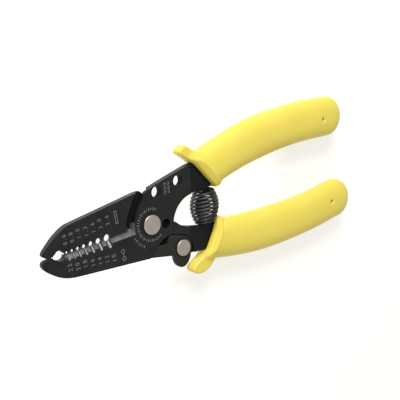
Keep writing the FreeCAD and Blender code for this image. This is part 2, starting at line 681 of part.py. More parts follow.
# collar outlines (x, y), from the heel by the spring along the mouth and back
# inside the sleeve: full with the thumb stop, wall without it, and the ridge
# that bounds the front and back faces
COLLAR_FULL = [(34.3, 6.9), (32.4, 9.6), (30.4, 12.4), (28.3, 15.4), (25.6, 18.7),
               (22.6, 21.2), (19.5, 22.9), (17.3, 24.2), (16.9, 25.6), (18.6, 27.1),
               (21.4, 27.6), (24.0, 27.1), (26.8, 25.2), (30.0, 22.6), (33.6, 17.4),
               (37.0, 11.6), (39.2, 7.7), (37.6, 5.7), (35.4, 5.7)]
COLLAR_WALL = [(34.3, 6.9), (32.4, 9.6), (30.4, 12.4), (28.3, 15.4), (26.1, 18.6),
               (25.0, 20.0), (24.4, 21.0), (24.2, 21.9), (24.5, 22.8), (25.2, 23.5),
               (26.2, 24.0), (27.4, 24.2), (28.8, 23.7), (30.8, 22.0), (33.6, 17.4),
               (37.0, 11.6), (39.0, 7.9), (37.6, 6.0), (35.4, 5.9)]
COLLAR_RIDGE = [(35.7, 8.8), (34.4, 10.5), (32.9, 12.9), (31.3, 15.5), (29.5, 18.3),
                (28.6, 19.7), (28.1, 20.7), (27.9, 21.4), (28.0, 21.9), (28.3, 22.3),
                (28.8, 22.5), (29.4, 22.5), (30.1, 22.1), (31.2, 21.2), (33.9, 17.2),
                (36.6, 12.2), (37.9, 9.6), (37.5, 8.5), (36.6, 8.2)]


def section_wire(centre, width_way, half_width, half_thick, steps=8):
    """Closed rounded section in four quarters, its width in plan along
    width_way and its thickness in Z."""
    across = width_way / width_way.Length
    up = Vector(0, 0, 1)
    ends = [across * half_width, up * half_thick,
            across * -half_width, up * -half_thick]
    tangents = [up, across * -1, up * -1, across]
    quarters = []
    for k in range(4):
        following = (k + 1) % 4
        points = []
        for i in range(steps + 1):
            angle = math.pi / 2.0 * i / steps
            # the ends are set to exactly 0, clear of rounding
            near = 0.0 if i == steps else math.cos(angle) ** (2.0 / SECTION_POWER)
            far = 0.0 if i == 0 else math.sin(angle) ** (2.0 / SECTION_POWER)
            points.append(centre + ends[k] * near + ends[following] * far)
        curve = Part.BSplineCurve()
        curve.interpolate(Points=points, InitialTangent=tangents[k],
                          FinalTangent=tangents[following])
        quarters.append(curve.toShape())
    return Part.Wire(quarters)


def sleeve_shape(side):
    wide, thick = size("grip_wide"), size("grip_half")
    wires = [section_wire(Vector(x - BACK, side * y, 0), Vector(way_x, side * way_y, 0),
                          wide + more_wide, thick + more_thick)
             for x, y, way_x, way_y, more_wide, more_thick in SLEEVE]
    return Part.makeLoft(wires, True, False)


def blend(one, two, share):
    return [(a[0] + (b[0] - a[0]) * share, a[1] + (b[1] - a[1]) * share)
            for a, b in zip(one, two)]


def collar_wire(outline, z, side):
    """Closed outline resampled at even parameters, in four arcs."""
    count = 40
    per_arc = 10
    curve = Part.BSplineCurve()
    curve.interpolate([Vector(x - BACK, side * y, z) for x, y in outline], True)
    first, last = curve.FirstParameter, curve.LastParameter
    dots = [curve.value(first + (last - first) * i / float(count)) for i in range(count)]
    dots.append(dots[0])
    arcs = []
    for j in range(0, count, per_arc):
        arc = Part.BSplineCurve()
        arc.interpolate(dots[j:j + per_arc + 1])
        arcs.append(arc.toShape())
    return Part.Wire(arcs)


def collar_shape(side):
    """Collar with its thumb stop: a stack of outlines in z, alike in front
    of and behind the middle plane."""
    face, wall, thumb = size("collar_half"), size("collar_front"), size("thumb_half")
    half_stack = [
        (0.0, COLLAR_FULL),
        (thumb - 1.2, COLLAR_FULL),
        (thumb - 0.4, blend(COLLAR_FULL, COLLAR_WALL, 0.06)),
        (thumb, blend(COLLAR_FULL, COLLAR_WALL, 0.22)),
        (thumb + 0.25, COLLAR_WALL),
        (wall, COLLAR_WALL),
        (wall + (face - wall) * 0.55, blend(COLLAR_WALL, COLLAR_RIDGE, 0.42)),
        (face - 0.1, blend(COLLAR_WALL, COLLAR_RIDGE, 0.85)),
        (face, COLLAR_RIDGE),
    ]
    stack = [(-z, outline) for z, outline in half_stack[:0:-1]] + half_stack
    return Part.makeLoft([collar_wire(outline, z, side) for z, outline in stack],
                         True, True)


def tang_space_shape(side):
    """The handle inside the grip, one fit bigger all round, and a clear
    mouth ahead of the collar."""
    fit = size("tang_fit")
    mouth_x, mouth_y = 20.0, 6.8
    edges = [TANG_IN, TANG_END, TANG_OUT]
    normals = []
    for points in edges:
        curve = Part.BSplineCurve()
        curve.interpolate([Vector(x, y, 0) for x, y in points])
        row = []
        for x, y in points:
            along = curve.tangent(curve.parameter(Vector(x, y, 0)))[0]
            row.append(Vector(along.y, -along.x, 0).normalize())
        normals.append(row)
    # where two curves meet, both move along the mean normal
    for one, two in ((0, 1), (1, 2)):
        mean = (normals[one][-1] + normals[two][0]).normalize()
        normals[one][-1] = mean
        normals[two][0] = mean
    wide = [[(x + normal.x * fit, y + normal.y * fit)
             for (x, y), normal in zip(points, row)]
            for points, row in zip(edges, normals)]
    first, last = wide[0][0], wide[2][-1]
    runs = [("line", [(mouth_x, mouth_y), (first[0], mouth_y), first]),
            ("curve", wide[0]), ("curve", wide[1]), ("curve", wide[2]),
            ("line", [last, (mouth_x, last[1] - 0.12), (mouth_x, mouth_y)])]
    runs = [(kind, [(x - BACK, side * y) for x, y in points]) for kind, points in runs]
    wire = Part.Wire(Part.__sortEdges__([curve.toShape() for curve in curves_of(runs)]))
    half = TANG + fit
    face = Part.Face(wire)
    face.translate(Vector(0, 0, -half))
    return face.extrude(Vector(0, 0, 2 * half))


def grip(name, side):
    outer = doc.addObject("Part::Feature", name + "_outer")
    outer.Shape = sleeve_shape(side).fuse(collar_shape(side)).removeSplitter()
    core = doc.addObject("Part::Feature", name + "_tang_space")
    core.Shape = tang_space_shape(side)
    # round vent from the tang out through the front face
    vent = doc.addObject("Part::Cylinder", name + "_vent")
    bind(vent, "Radius", "<vent_rad>")
    bind(vent, "Height", "<grip_half> + 1")
    bind(vent, "Placement.Base.x", "<vent_x> - <pivot_back>")
    bind(vent, "Placement.Base.y", "<vent_y>" if side > 0 else "-<vent_y>")
    space = doc.addObject("Part::Fuse", name + "_space")
    space.Base = core
    space.Tool = vent
    sleeve = doc.addObject("Part::Cut", name)
    sleeve.Base = outer
    sleeve.Tool = space
    doc.recompute()
    return sleeve


# ---------------------------------------------------------------------------
# Build, check and export
# ---------------------------------------------------------------------------

PARTS = [
    front_blade(),
    rear_blade(),
    latch_lever(),
    rivet("pivot", "0", "0"),
    rivet("latch", "<latch_x>", "<latch_y>"),
    washer("pivot", "0", "0"),
    washer("latch", "<latch_x>", "<latch_y>"),
    return_spring(),
    grip("upper_grip", 1),
    grip("lower_grip", -1),
]
doc.recompute()

for obj in doc.Objects:
    bad = [state for state in obj.State if state in ("Invalid", "Error")]
    if bad:
        raise RuntimeError("%s is %s" % (obj.Name, bad))
for obj in PARTS:
    shape = obj.Shape
    if shape.isNull() or not shape.isValid():
        raise RuntimeError(obj.Label + " has no valid shape")
    if len(shape.Solids) != 1:
        raise RuntimeError("%s has %d solids" % (obj.Label, len(shape.Solids)))

os.makedirs("parts", exist_ok=True)
for obj in PARTS:
    obj.Shape.exportStep("parts/%s.step" % obj.Label)
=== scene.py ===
# Hand wire stripper with yellow grips, a coil return spring and a latch. It
# lies flat, its thickness along z. The jaws point to -x, the handles to +x,
# the upper handle on the +y side and the lower handle on the -y side.
import math

import bpy
import numpy as np
from mathutils import Matrix, Vector


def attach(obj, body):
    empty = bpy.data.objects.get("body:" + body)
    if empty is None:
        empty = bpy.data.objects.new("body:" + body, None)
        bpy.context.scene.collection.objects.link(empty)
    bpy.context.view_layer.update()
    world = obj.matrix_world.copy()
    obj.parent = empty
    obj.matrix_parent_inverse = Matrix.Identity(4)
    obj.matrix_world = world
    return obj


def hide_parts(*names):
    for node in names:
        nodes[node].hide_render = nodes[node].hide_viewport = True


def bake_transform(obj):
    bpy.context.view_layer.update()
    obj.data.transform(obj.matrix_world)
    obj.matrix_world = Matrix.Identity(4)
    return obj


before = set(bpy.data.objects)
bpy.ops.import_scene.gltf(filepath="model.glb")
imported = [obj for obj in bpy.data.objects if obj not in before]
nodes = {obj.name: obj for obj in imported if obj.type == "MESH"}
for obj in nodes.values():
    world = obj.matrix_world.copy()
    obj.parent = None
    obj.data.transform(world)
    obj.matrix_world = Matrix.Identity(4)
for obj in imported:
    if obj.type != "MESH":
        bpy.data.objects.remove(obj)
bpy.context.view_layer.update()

# Shape sizes are in mm from the pivot axis. Sizes in materials and lights are
# in metres.
PIVOT_X = -35.4         # pivot axis, from the frame's origin
FLOOR_Z = -6.44
HEAD_TOP = 2.60         # crown of the rivet heads


def place(x, y, z):
    """Scene point, in metres, of a point in mm from the pivot axis."""
    return Vector(((x + PIVOT_X) / 1000.0, y / 1000.0, z / 1000.0))


# ---------------------------------------------------------------------------
# Materials
# ---------------------------------------------------------------------------

class Shader:
    """A Principled material, with helpers that add and link shader nodes."""

    def __init__(self, name):
        self.mat = bpy.data.materials.new(name)
        self.mat.use_nodes = True
        self.tree = self.mat.node_tree
        self.tree.nodes.clear()
        output = self.add("ShaderNodeOutputMaterial")
        self.bsdf = self.add("ShaderNodeBsdfPrincipled")
        self.link(self.bsdf.outputs[0], output.inputs[0])
        self.coord = self.add("ShaderNodeTexCoord").outputs["Object"]

    def add(self, kind, **props):
        node = self.tree.nodes.new(kind)
        for key, value in props.items():
            setattr(node, key, value)
        return node

    def link(self, source, target):
        self.tree.links.new(source, target)

    def finish(self, **inputs):
        """Feed the Principled inputs, with _ for each space in their names."""
        for key, value in inputs.items():
            socket = self.bsdf.inputs[key.replace("_", " ")]
            if isinstance(value, bpy.types.NodeSocket):
                self.link(value, socket)
            else:
                socket.default_value = value
        return self.mat

    def scaled(self, x, y, z):
        node = self.add("ShaderNodeMapping")
        node.inputs["Scale"].default_value = (x, y, z)
        self.link(self.coord, node.inputs["Vector"])
        return node.outputs[0]

    def noise(self, scale, detail, roughness, vector=None):
        node = self.add("ShaderNodeTexNoise")
        node.inputs["Scale"].default_value = scale
        node.inputs["Detail"].default_value = detail
        node.inputs["Roughness"].default_value = roughness
        self.link(vector or self.coord, node.inputs["Vector"])
        return node.outputs[0]

    def ramp(self, source, start, end, low=0.0, high=1.0):
        """Go from low to high, greys or colours, between two positions."""
        node = self.add("ShaderNodeValToRGB")
        stops = ((start, low), (end, high))
        for element, (position, colour) in zip(node.color_ramp.elements, stops):
            element.position = position
            if not isinstance(colour, tuple):
                colour = (colour,) * 3
            element.color = (*colour, 1.0)
        self.link(source, node.inputs[0])
        return node.outputs[0]

    def mix(self, amount, base, over):
        node = self.add("ShaderNodeMix", data_type="RGBA")
        self.link(amount, node.inputs[0])
        self.link(base, node.inputs[6])
        node.inputs[7].default_value = (*over, 1.0)
        return node.outputs[2]

    def math(self, operation, first, second):
        node = self.add("ShaderNodeMath", operation=operation)
        self.link(first, node.inputs[0])
        node.inputs[1].default_value = second
        node.inputs[2].default_value = 0.0
        return node.outputs[0]

    def bump(self, height, distance, strength, normal=None):
        node = self.add("ShaderNodeBump")
        node.inputs["Strength"].default_value = strength
        node.inputs["Distance"].default_value = distance
        self.link(height, node.inputs["Height"])
        if normal is not None:
            self.link(normal, node.inputs["Normal"])
        return node.outputs[0]

    def rounded(self, radius, samples):
        node = self.add("ShaderNodeBevel")
        node.samples = samples
        node.inputs["Radius"].default_value = radius
        return node.outputs[0]


def black_oxide(name, low, high, roughness, edge=0.00028, specular=0.21):
    """Blackened steel: satin, mottled from low to high, with light scuffs.
    edge is the radius of the softened edges."""
    s = Shader(name)
    cloud = s.noise(scale=160.0, detail=5.0, roughness=0.6)
    grain = s.noise(scale=5200.0, detail=2.0, roughness=0.5)
    colour = s.ramp(cloud, start=0.35, end=0.68, low=low, high=high)
    speck = s.ramp(grain, start=0.60, end=0.74)
    speck_gain = 2.2        # specks against the high colour
    colour = s.mix(s.math("MULTIPLY", speck, 0.10), colour, tuple(speck_gain * v for v in high))
    scuff = s.noise(scale=900.0, detail=3.0, roughness=0.6, vector=s.scaled(x=0.14, y=1.0, z=1.0))
    rough = s.ramp(cloud, start=0.3, end=0.7, low=roughness - 0.05, high=roughness + 0.06)
    rough = s.mix(s.ramp(scuff, start=0.52, end=0.75, high=0.5), rough, (roughness - 0.08,) * 3)
    normal = s.rounded(radius=edge, samples=6)
    normal = s.bump(grain, distance=0.000010, strength=0.45, normal=normal)
    normal = s.bump(cloud, distance=0.00004, strength=0.25, normal=normal)
    return s.finish(Base_Color=colour, Roughness=rough, Normal=normal, Metallic=0.0,
                    Specular_IOR_Level=specular)


def ground_steel(name):
    """Bare ground steel: fine lines across the edge."""
    s = Shader(name)
    lines = s.noise(scale=9000.0, detail=2.0, roughness=0.6, vector=s.scaled(x=1.0, y=0.06, z=0.06))
    broad = s.noise(scale=1100.0, detail=3.0, roughness=0.6, vector=s.scaled(x=1.0, y=0.10, z=0.10))
    cloud = s.noise(scale=420.0, detail=4.0, roughness=0.6)
    colour = s.ramp(broad, start=0.30, end=0.70,
                    low=(0.080, 0.079, 0.076), high=(0.215, 0.212, 0.205))
    colour = s.mix(s.ramp(cloud, start=0.45, end=0.8, high=0.45), colour, (0.075, 0.072, 0.068))
    rough = s.ramp(broad, start=0.3, end=0.7, low=0.34, high=0.46)
    normal = s.rounded(radius=0.00008, samples=4)
    normal = s.bump(lines, distance=0.000020, strength=0.7, normal=normal)
    normal = s.bump(broad, distance=0.00002, strength=0.4, normal=normal)
    return s.finish(Base_Color=colour, Roughness=rough, Normal=normal, Metallic=1.0,
                    Anisotropic=0.4)


def satin_nickel(name):
    """Rivets: pale warm metal, tumbled, with a fine speckle."""
    s = Shader(name)
    speck = s.noise(scale=2600.0, detail=3.0, roughness=0.65)
    fine = s.noise(scale=8000.0, detail=2.0, roughness=0.5)
    cloud = s.noise(scale=300.0, detail=4.0, roughness=0.6)
    colour = s.ramp(cloud, start=0.3, end=0.72, low=(0.42, 0.385, 0.32), high=(0.54, 0.50, 0.42))
    colour = s.mix(s.ramp(speck, start=0.50, end=0.72, high=0.40), colour, (0.30, 0.275, 0.23))
    rough = s.ramp(speck, start=0.35, end=0.7, low=0.38, high=0.50)
    normal = s.bump(speck, distance=0.000030, strength=0.5)
    normal = s.bump(fine, distance=0.000008, strength=0.5, normal=normal)
    return s.finish(Base_Color=colour, Roughness=rough, Normal=normal, Metallic=1.0)


def spring_wire(name):
    """Dark oiled wire with paler grains."""
    s = Shader(name)
    grain = s.noise(scale=3500.0, detail=3.0, roughness=0.6)
    cloud = s.noise(scale=500.0, detail=4.0, roughness=0.6)
    colour = s.ramp(cloud, start=0.3, end=0.7,
                    low=(0.009, 0.0098, 0.0094), high=(0.020, 0.0215, 0.0205))
    colour = s.mix(s.ramp(grain, start=0.6, end=0.8, high=0.35), colour, (0.075, 0.075, 0.070))
    rough = s.ramp(grain, start=0.3, end=0.7, low=0.30, high=0.44)
    normal = s.bump(grain, distance=0.000012, strength=0.5)
    return s.finish(Base_Color=colour, Roughness=rough, Normal=normal, Metallic=0.35,
                    Specular_IOR_Level=0.6)


def vinyl(name):
    """Soft moulded vinyl: even yellow, low sheen, faint orange peel."""
    s = Shader(name)
    peel = s.noise(scale=2300.0, detail=2.0, roughness=0.5)
    cloud = s.noise(scale=55.0, detail=3.0, roughness=0.5)
    waves = s.noise(scale=190.0, detail=2.0, roughness=0.5)
    colour = s.ramp(cloud, start=0.35, end=0.68,
                    low=(0.615, 0.497, 0.064), high=(0.640, 0.522, 0.073))
    rough = s.ramp(waves, start=0.3, end=0.7, low=0.37, high=0.45)
    normal = s.bump(peel, distance=0.000012, strength=0.35)
    normal = s.bump(waves, distance=0.00010, strength=0.18, normal=normal)
    s.bsdf.subsurface_method = "RANDOM_WALK"
    return s.finish(Base_Color=colour, Roughness=rough, Normal=normal, Specular_IOR_Level=0.50,
                    Subsurface_Weight=0.18, Subsurface_Radius=(1.0, 0.62, 0.12),
                    Subsurface_Scale=0.0022)


def etched(name):
    """Pale laser marking, slightly broken up."""
    s = Shader(name)
    grit = s.noise(scale=4200.0, detail=3.0, roughness=0.6)
    colour = s.ramp(grit, start=0.34, end=0.66,
                    low=(0.060, 0.062, 0.058), high=(0.205, 0.205, 0.195))
    return s.finish(Base_Color=colour, Roughness=0.62)


def paper(name):
    """White table that glows by itself, so only soft shadows show. The glow is a painted pool of
    light, and its warm tint paints warm bounce light into the shadows.
    """
    s = Shader(name)
    soft = s.noise(scale=6.0, detail=2.0, roughness=0.5)
    colour = s.ramp(soft, start=0.3, end=0.7,
                    low=(0.400, 0.390, 0.372), high=(0.410, 0.400, 0.382))
    # painted pool of light: the glow is strongest under the blades and fades towards the grips
    glow_centre = (-0.036, 0.012, 0.0)
    glow_reach = 0.20
    spot = s.add("ShaderNodeVectorMath", operation="DISTANCE")
    s.link(s.scaled(x=1.0, y=2.4, z=0.0), spot.inputs[0])
    spot.inputs[1].default_value = glow_centre
    glow = s.ramp(s.math("DIVIDE", spot.outputs["Value"], glow_reach),
                  start=0.29, end=0.45, low=0.95, high=0.60)
    # the warm emission tint is painted warm bounce light from the yellow grips, seen where the
    # floor lies in shadow
    return s.finish(Base_Color=colour, Roughness=0.8, Specular_IOR_Level=0.05,
                    Emission_Color=(1.0, 0.985, 0.945, 1.0), Emission_Strength=glow)


mat_blade = black_oxide("blade_black_oxide", low=(0.0060, 0.0074, 0.0070),
                        high=(0.0105, 0.0126, 0.0119), roughness=0.44)
# black oxide with a warm, lighter tint that paints the reflection of the yellow grip on the lever
mat_lever_reflection = black_oxide("lever_oxide_and_reflection", low=(0.0115, 0.0110, 0.0080),
                        high=(0.0185, 0.0180, 0.0130), roughness=0.46, edge=0.00016)
mat_washer = black_oxide("washer_black_oxide", low=(0.006, 0.0065, 0.006),
                         high=(0.011, 0.0115, 0.0105), roughness=0.5, edge=0.00006)
# darker, duller copy of the blade oxide: painted shade for recessed faces and hole walls
mat_lap_shade = black_oxide("lap_painted_shade", low=(0.0030, 0.0034, 0.0032),
                      high=(0.0055, 0.0060, 0.0057), roughness=0.6, specular=0.08)
# darker copy of the blade oxide: painted shade on the tang faces entering the grips
mat_tang_shade = black_oxide("tang_painted_shade", low=(0.0040, 0.0050, 0.0047),
                       high=(0.0075, 0.0090, 0.0085), roughness=0.36, specular=0.13)
mat_ground = ground_steel("ground_steel")
mat_rivet = satin_nickel("satin_nickel")
mat_spring = spring_wire("oil_tempered_wire")
mat_vinyl = vinyl("yellow_vinyl")
mat_mark = etched("etched_marking")
mat_floor = paper("pale_floor")


# ---------------------------------------------------------------------------
# CAD pieces that keep their shape
# ---------------------------------------------------------------------------

LOOP_HOLES = ((5.0, 12.2), (16.3, 13.9))
TANG_FACE_Z = 1.1       # flat faces of the tangs, on both sides


def paint(obj, *mats):
    obj.data.materials.clear()
    for mat in mats:
        obj.data.materials.append(mat)


def paint_blade(obj):
    """Black all over, bare where the edges, grooves and bevels are ground, and darker where painted
    shade stands for the recesses and the tang faces.
    """
    paint(obj, mat_blade, mat_ground, mat_lap_shade, mat_tang_shade)
    polygons = obj.data.polygons
    centre = np.zeros(len(polygons) * 3, np.float32)
    normal = np.zeros(len(polygons) * 3, np.float32)
    polygons.foreach_get("center", centre)
    polygons.foreach_get("normal", normal)
    x, y, z = (centre.reshape(-1, 3) * 1000.0 - np.array([PIVOT_X, 0, 0])).T
    steep = np.abs(normal.reshape(-1, 3)[:, 2])
    flat = steep > 0.9
    # sloping faces along the jaws, clear of the pivot boss
    ground = (x > -39.0) & (x < -7.45) & (y > -3.4) & (y < 4.0) & (steep < 0.985)
    ground &= np.hypot(x, y) > 7.9
    # the faces where the blades meet, and the walls of the loop holes: a darker, duller copy of the
    # oxide paints the shade in these recesses
    lap_shade = (np.abs(z) < 0.08) & flat
    for hole_x, hole_y in LOOP_HOLES:
        lap_shade |= (np.hypot(x - hole_x, y - hole_y) < 2.6) & (steep < 0.5)
    # tang faces by the collars take the darker oxide copy, as painted shade
    tang = (np.abs(np.abs(z) - TANG_FACE_Z) < 0.05) & flat
    slots = np.where(ground, 1, 0).astype(np.int32)
    slots[tang] = 3
    slots[lap_shade] = 2
    polygons.foreach_set("material_index", slots)


for blade in ("front_blade", "rear_blade"):
    paint_blade(nodes[blade])

paint(nodes["latch_lever"], mat_lever_reflection)
paint(nodes["pivot_washer"], mat_washer)
paint(nodes["latch_washer"], mat_washer)


def new_mesh(name, verts, faces, mat, smooth=True):
    mesh = bpy.data.meshes.new(name)
    mesh.from_pydata([tuple(v) for v in verts], [], [tuple(int(i) for i in f) for f in faces])
    mesh.update()
    if smooth:
        mesh.polygons.foreach_set("use_smooth", [True] * len(mesh.polygons))
    mesh.materials.append(mat)
    obj = bpy.data.objects.new(name, mesh)
    bpy.context.scene.collection.objects.link(obj)
    return obj


# ---------------------------------------------------------------------------
# Rivets: turned shape with a low crown, a rolled rim and a formed tail
# ---------------------------------------------------------------------------

HEAD_UNDER = 1.93       # underside of the head
TAIL_START = -1.63      # upper face of the tail
CROWN_RISE = 0.10
RIM_ROUND = 0.34
TAIL_ROUND = 0.30


def lathe(profile, centre_x, centre_y, around=96):
    """Turn a (radius, z) profile that runs from the axis to the axis."""
    verts, faces, rings = [], [], []
    for radius, z in profile:
        start = len(verts)
        if radius < 1e-6:
            verts.append(place(centre_x, centre_y, z))
        else:
            for j in range(around):
                angle = 2 * math.pi * j / around
                verts.append(place(centre_x + radius * math.cos(angle),
                                   centre_y + radius * math.sin(angle), z))
        rings.append(range(start, len(verts)))
    for upper, lower in zip(rings, rings[1:]):
        for j in range(around):
            k = (j + 1) % around
            if len(upper) == 1:
                faces.append((upper[0], lower[j], lower[k]))
            elif len(lower) == 1:
                faces.append((upper[j], lower[0], upper[k]))
            else:
                faces.append((upper[j], lower[j], lower[k], upper[k]))
    return verts, faces


def rivet(node, centre, shank, head, tail, tail_length):
    """shank, head and tail are radii."""
    crown = head - RIM_ROUND
    crown_edge = HEAD_TOP - CROWN_RISE
    profile = []
    for i in range(9):
        radius = crown * i / 8.0
        profile.append((radius, HEAD_TOP - CROWN_RISE * (radius / crown) ** 2))
    for i in range(1, 9):
        angle = math.radians(90.0 - 90.0 * i / 8.0)
        profile.append((crown + RIM_ROUND * math.cos(angle),
                        crown_edge - RIM_ROUND + RIM_ROUND * math.sin(angle)))
    # small corner breaks under the head, along the shank and on the tail
    profile += [(head, HEAD_UNDER + 0.05), (head - 0.05, HEAD_UNDER),
                (shank + 0.02, HEAD_UNDER), (shank, HEAD_UNDER - 0.02),
                (shank, TAIL_START + 0.02), (shank + 0.02, TAIL_START),
                (tail - 0.06, TAIL_START), (tail, TAIL_START - 0.06)]
    bottom = TAIL_START - tail_length
    tail_flat = tail - TAIL_ROUND
    for i in range(1, 7):
        angle = math.radians(-90.0 * i / 6.0)
        profile.append((tail_flat + TAIL_ROUND * math.cos(angle),
                        bottom + TAIL_ROUND + TAIL_ROUND * math.sin(angle)))
    # flat end with a dished centre
    profile += [(tail_flat * 0.8, bottom), (tail * 0.34, bottom), (tail * 0.28, bottom + 0.12),
                (tail * 0.12, bottom + 0.28), (0.0, bottom + 0.32)]
    obj = new_mesh(node + "_turned", *lathe(profile, *centre), mat_rivet)
    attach(obj, "lower_handle")
    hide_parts(node)


rivet("pivot_rivet", centre=(0, 0), shank=3.0, head=4.05, tail=3.7, tail_length=0.8)
rivet("latch_rivet", centre=(13.3, -14.3), shank=1.9, head=3.5, tail=3.0, tail_length=0.7)


# ---------------------------------------------------------------------------
# Return spring: barrel coil between the handles, seat to seat
# ---------------------------------------------------------------------------

TURNS = 9.5
STEPS_PER_TURN = 56
WIRE_RADIUS = 0.60
WIRE_SIDES = 18
SEAT_GAP = 0.06
LOWER_SEAT_Y = -8.3
UPPER_SEAT_Y = 6.9
COIL_END_RADIUS = 3.55
COIL_MID_RADIUS = 5.80
CLOSED_PITCH = 1.28     # rise of the first and of the last turn
BARREL_POWER = 0.8      # shapes both the bulge and the lean
COIL_X = 27.9           # coil axis at the lower seat
COIL_LEAN = 2.1         # how much further to +x it is at the upper seat


def coil_path():
    """Points of the wire's centre line, each with its angle on the coil."""
    bottom = LOWER_SEAT_Y + WIRE_RADIUS + SEAT_GAP
    top = UPPER_SEAT_Y - WIRE_RADIUS - SEAT_GAP
    pitch = ((top - bottom) - 2 * CLOSED_PITCH) / (TURNS - 2)
    steps = int(TURNS * STEPS_PER_TURN)
    path = []
    for i in range(steps + 1):
        turn = TURNS * i / steps
        if turn < 1:
            y = bottom + CLOSED_PITCH * turn
        elif turn > TURNS - 1:
            y = top - CLOSED_PITCH * (TURNS - turn)
        else:
            y = bottom + CLOSED_PITCH + pitch * (turn - 1)
        height = min(1.0, max(0.0, (y - bottom) / (top - bottom)))
        axis_x = COIL_X + COIL_LEAN * height ** BARREL_POWER
        bulge = math.sin(math.pi * height) ** BARREL_POWER
        radius = COIL_END_RADIUS + (COIL_MID_RADIUS - COIL_END_RADIUS) * bulge
        angle = -2 * math.pi * turn - math.pi * 0.25
        path.append((place(axis_x + radius * math.cos(angle), y, radius * math.sin(angle)), angle))
    return path


def coil():
    """Tube along the coil path, slightly thinner at its closed ends."""
    path = coil_path()
    last = len(path) - 1
    verts, faces = [], []
    for i, (point, angle) in enumerate(path):
        along = path[min(i + 1, last)][0] - path[max(i - 1, 0)][0]
        along.normalize()
        side = Vector((math.cos(angle), 0, math.sin(angle)))
        up = along.cross(side).normalized()
        side = up.cross(along).normalized()
        from_end = min(i, last - i)
        radius = WIRE_RADIUS / 1000.0 * (0.82 + 0.18 * min(1.0, from_end / 3.0))
        for j in range(WIRE_SIDES):
            around = 2 * math.pi * j / WIRE_SIDES
            verts.append(point + side * (radius * math.cos(around))
                         + up * (radius * math.sin(around)))
    for i in range(last):
        ring, following = i * WIRE_SIDES, (i + 1) * WIRE_SIDES
        for j in range(WIRE_SIDES):
            k = (j + 1) % WIRE_SIDES
            faces.append((ring + j, ring + k, following + k, following + j))
    start_cap = len(verts)
    end_cap = start_cap + 1
    verts += [path[0][0], path[-1][0]]
    last_ring = last * WIRE_SIDES
    for j in range(WIRE_SIDES):
        k = (j + 1) % WIRE_SIDES
        faces.append((start_cap, k, j))
        faces.append((end_cap, last_ring + j, last_ring + k))
    return verts, faces


spring = new_mesh("spring_coil", *coil(), mat_spring)
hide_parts("return_spring")
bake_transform(spring)


# ---------------------------------------------------------------------------
# Grips: one smooth distance field (sleeve, collar, thumb stop, mouth, vent)
# turned into a mesh. Both are built on the +y side, and the lower is mirrored.
# ---------------------------------------------------------------------------

# centre line stations: x, y, half width, half thickness
CENTRE = [(27.0, 14.0, 9.5, 5.3), (31.0, 15.1, 9.5, 5.3), (36.0, 16.4, 9.5, 5.3),
          (43.5, 18.2, 9.5, 5.3), (52.0, 19.75, 9.55, 5.3), (62.0, 21.0, 9.6, 5.3),
          (74.0, 21.85, 9.5, 5.3), (87.0, 22.05, 9.45, 5.3), (99.0, 21.6, 9.5, 5.3),
          (107.2, 20.95, 9.5, 5.25), (110.3, 20.8, 9.5, 5.2)]
# (y, half width) corrections of each grip at its first stations
BEND_UPPER = [(-0.4, -0.4), (-0.4, -0.4), (-0.4, -0.4), (-0.4, -0.4), (-0.25, -0.25),
              (-0.1, -0.1)]
BEND_LOWER = [(0.9, -0.55), (0.9, -0.55), (0.85, -0.5), (0.6, -0.35), (0.35, -0.15),
              (0.1, 0.0)]
# (x, y) outline of the flange with its thumb stop
COLLAR_FULL = [(34.3, 7.1), (32.4, 9.6), (30.4, 12.4), (28.3, 15.4), (25.6, 18.7),
               (22.6, 21.2), (19.5, 22.9), (17.3, 24.2), (16.9, 25.6), (18.6, 27.1),
               (21.4, 27.6), (24.0, 26.8), (26.6, 24.8), (29.6, 22.2), (33.2, 17.4),
               (36.4, 11.6), (37.9, 8.3), (37.2, 6.7), (35.4, 6.4)]
# (x, y) outline of the raised band
COLLAR_WALL = [(34.3, 7.1), (32.4, 9.6), (30.4, 12.4), (28.3, 15.4), (26.1, 18.6),
               (25.0, 20.0), (24.4, 21.0), (24.2, 21.9), (24.5, 22.8), (25.2, 23.5),
               (26.2, 23.8), (27.4, 23.8), (28.8, 23.2), (30.8, 21.6), (33.2, 17.4),
               (36.4, 11.6), (37.8, 8.5), (37.2, 6.9), (35.4, 6.6)]
# the lower grip's own (x, y) for some points of both outlines
HEEL_LOWER = {0: (32.6, 7.7), 1: (31.6, 9.8), 15: (35.9, 11.8), 16: (36.6, 9.2),
              17: (35.4, 7.5), 18: (33.6, 6.7)}
# (x, y) shifts of the thumb stop, from point STOP_FIRST of COLLAR_FULL on
STOP_FIRST = 6
STOP_UPPER = [(1.0, 0.1), (1.7, 0.2), (1.9, 0.1), (1.7, -0.2), (1.0, -0.3), (0.0, -0.6),
              (-0.3, -0.7)]
STOP_LOWER = [(0.0, -0.1), (-0.4, 0.0), (-0.5, 0.4), (-0.2, 0.8), (0.5, 0.7), (1.1, 0.5),
              (1.0, 0.5)]
# (x, y) outline of the tang inside the grip
TANG = [(20.0, 6.75), (33.0, 6.75), (33.0, 7.25), (35.5, 8.7), (38.5, 10.25), (44.0, 12.5),
        (44.0, 21.9), (35.0, 20.1), (29.0, 19.55), (25.5, 19.25), (22.1, 18.7),
        (10.0, 18.55), (10.0, 6.75)]
SECTION_POWER = 2.35    # superellipse power of the sleeve's section
END_REACH = 9.35        # rounded end beyond the last station
SLEEVE_START = ((37.2, 8.4), (26.2, 22.9))      # line that cuts the sleeve off
VENT = (104.0, 20.5)


